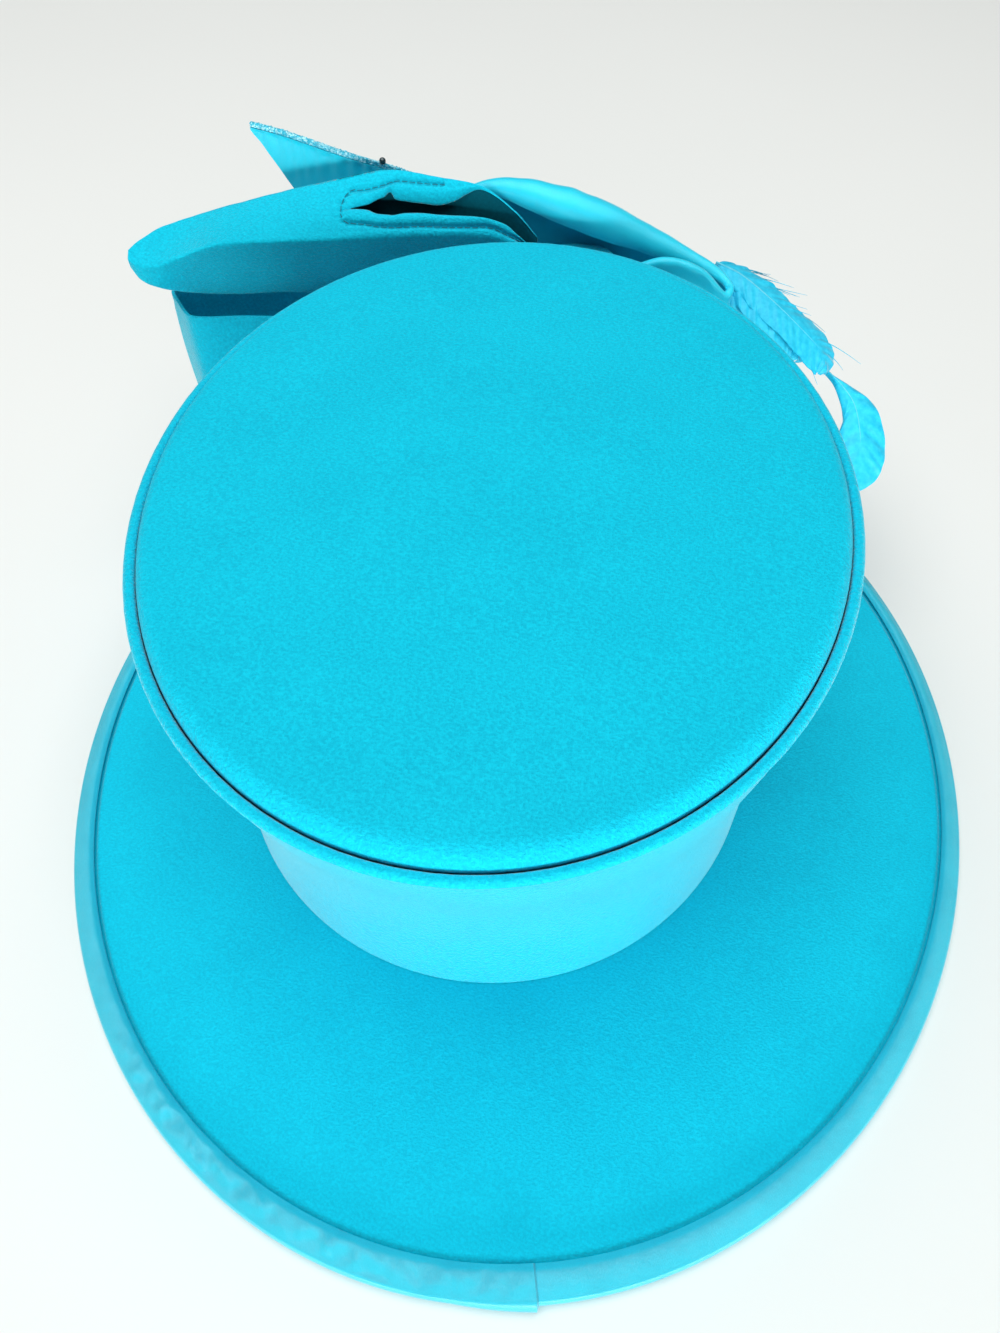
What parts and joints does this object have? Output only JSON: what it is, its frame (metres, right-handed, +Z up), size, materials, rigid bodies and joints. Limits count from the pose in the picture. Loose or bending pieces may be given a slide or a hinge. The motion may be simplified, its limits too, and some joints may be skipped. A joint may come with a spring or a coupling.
{
  "type": "derby hat",
  "caption": "Dress derby hat: a tall flared oval crown on a wide flat brim with bound edge, and a bow, a satin sash and feathers on the crown's front.",
  "frame": {"origin": "on the surface that the hat stands on, under the brim's centre", "axes": "+Z up, +Y towards the hat's front where the bow is, so -Y is its back where the brim's tape is joined"},
  "size_m": [0.3324, 0.3798, 0.1548],
  "materials": {
    "crepe": "matt, with a fine pebbly grain",
    "satin": "smooth, with a soft sheen",
    "glitter": "sparkling",
    "bead": "gloss",
    "feather": "matt, downy"
  },
  "bodies": {
    "root": {"crown_side": "crepe", "crown_tip": "crepe", "brim": "crepe", "brim_binding": "satin", "bow_knot": "crepe", "upper_loop": "crepe", "lower_loop": "crepe", "satin_sash": "satin", "pointed_tail": "satin", "tail_trim": "glitter", "tail_bead": "bead", "sash_gather": "satin", "feather_top": "feather", "feather_middle": "feather", "feather_low": "feather", "feather_hanging": "feather"}
  },
  "joints": []
}
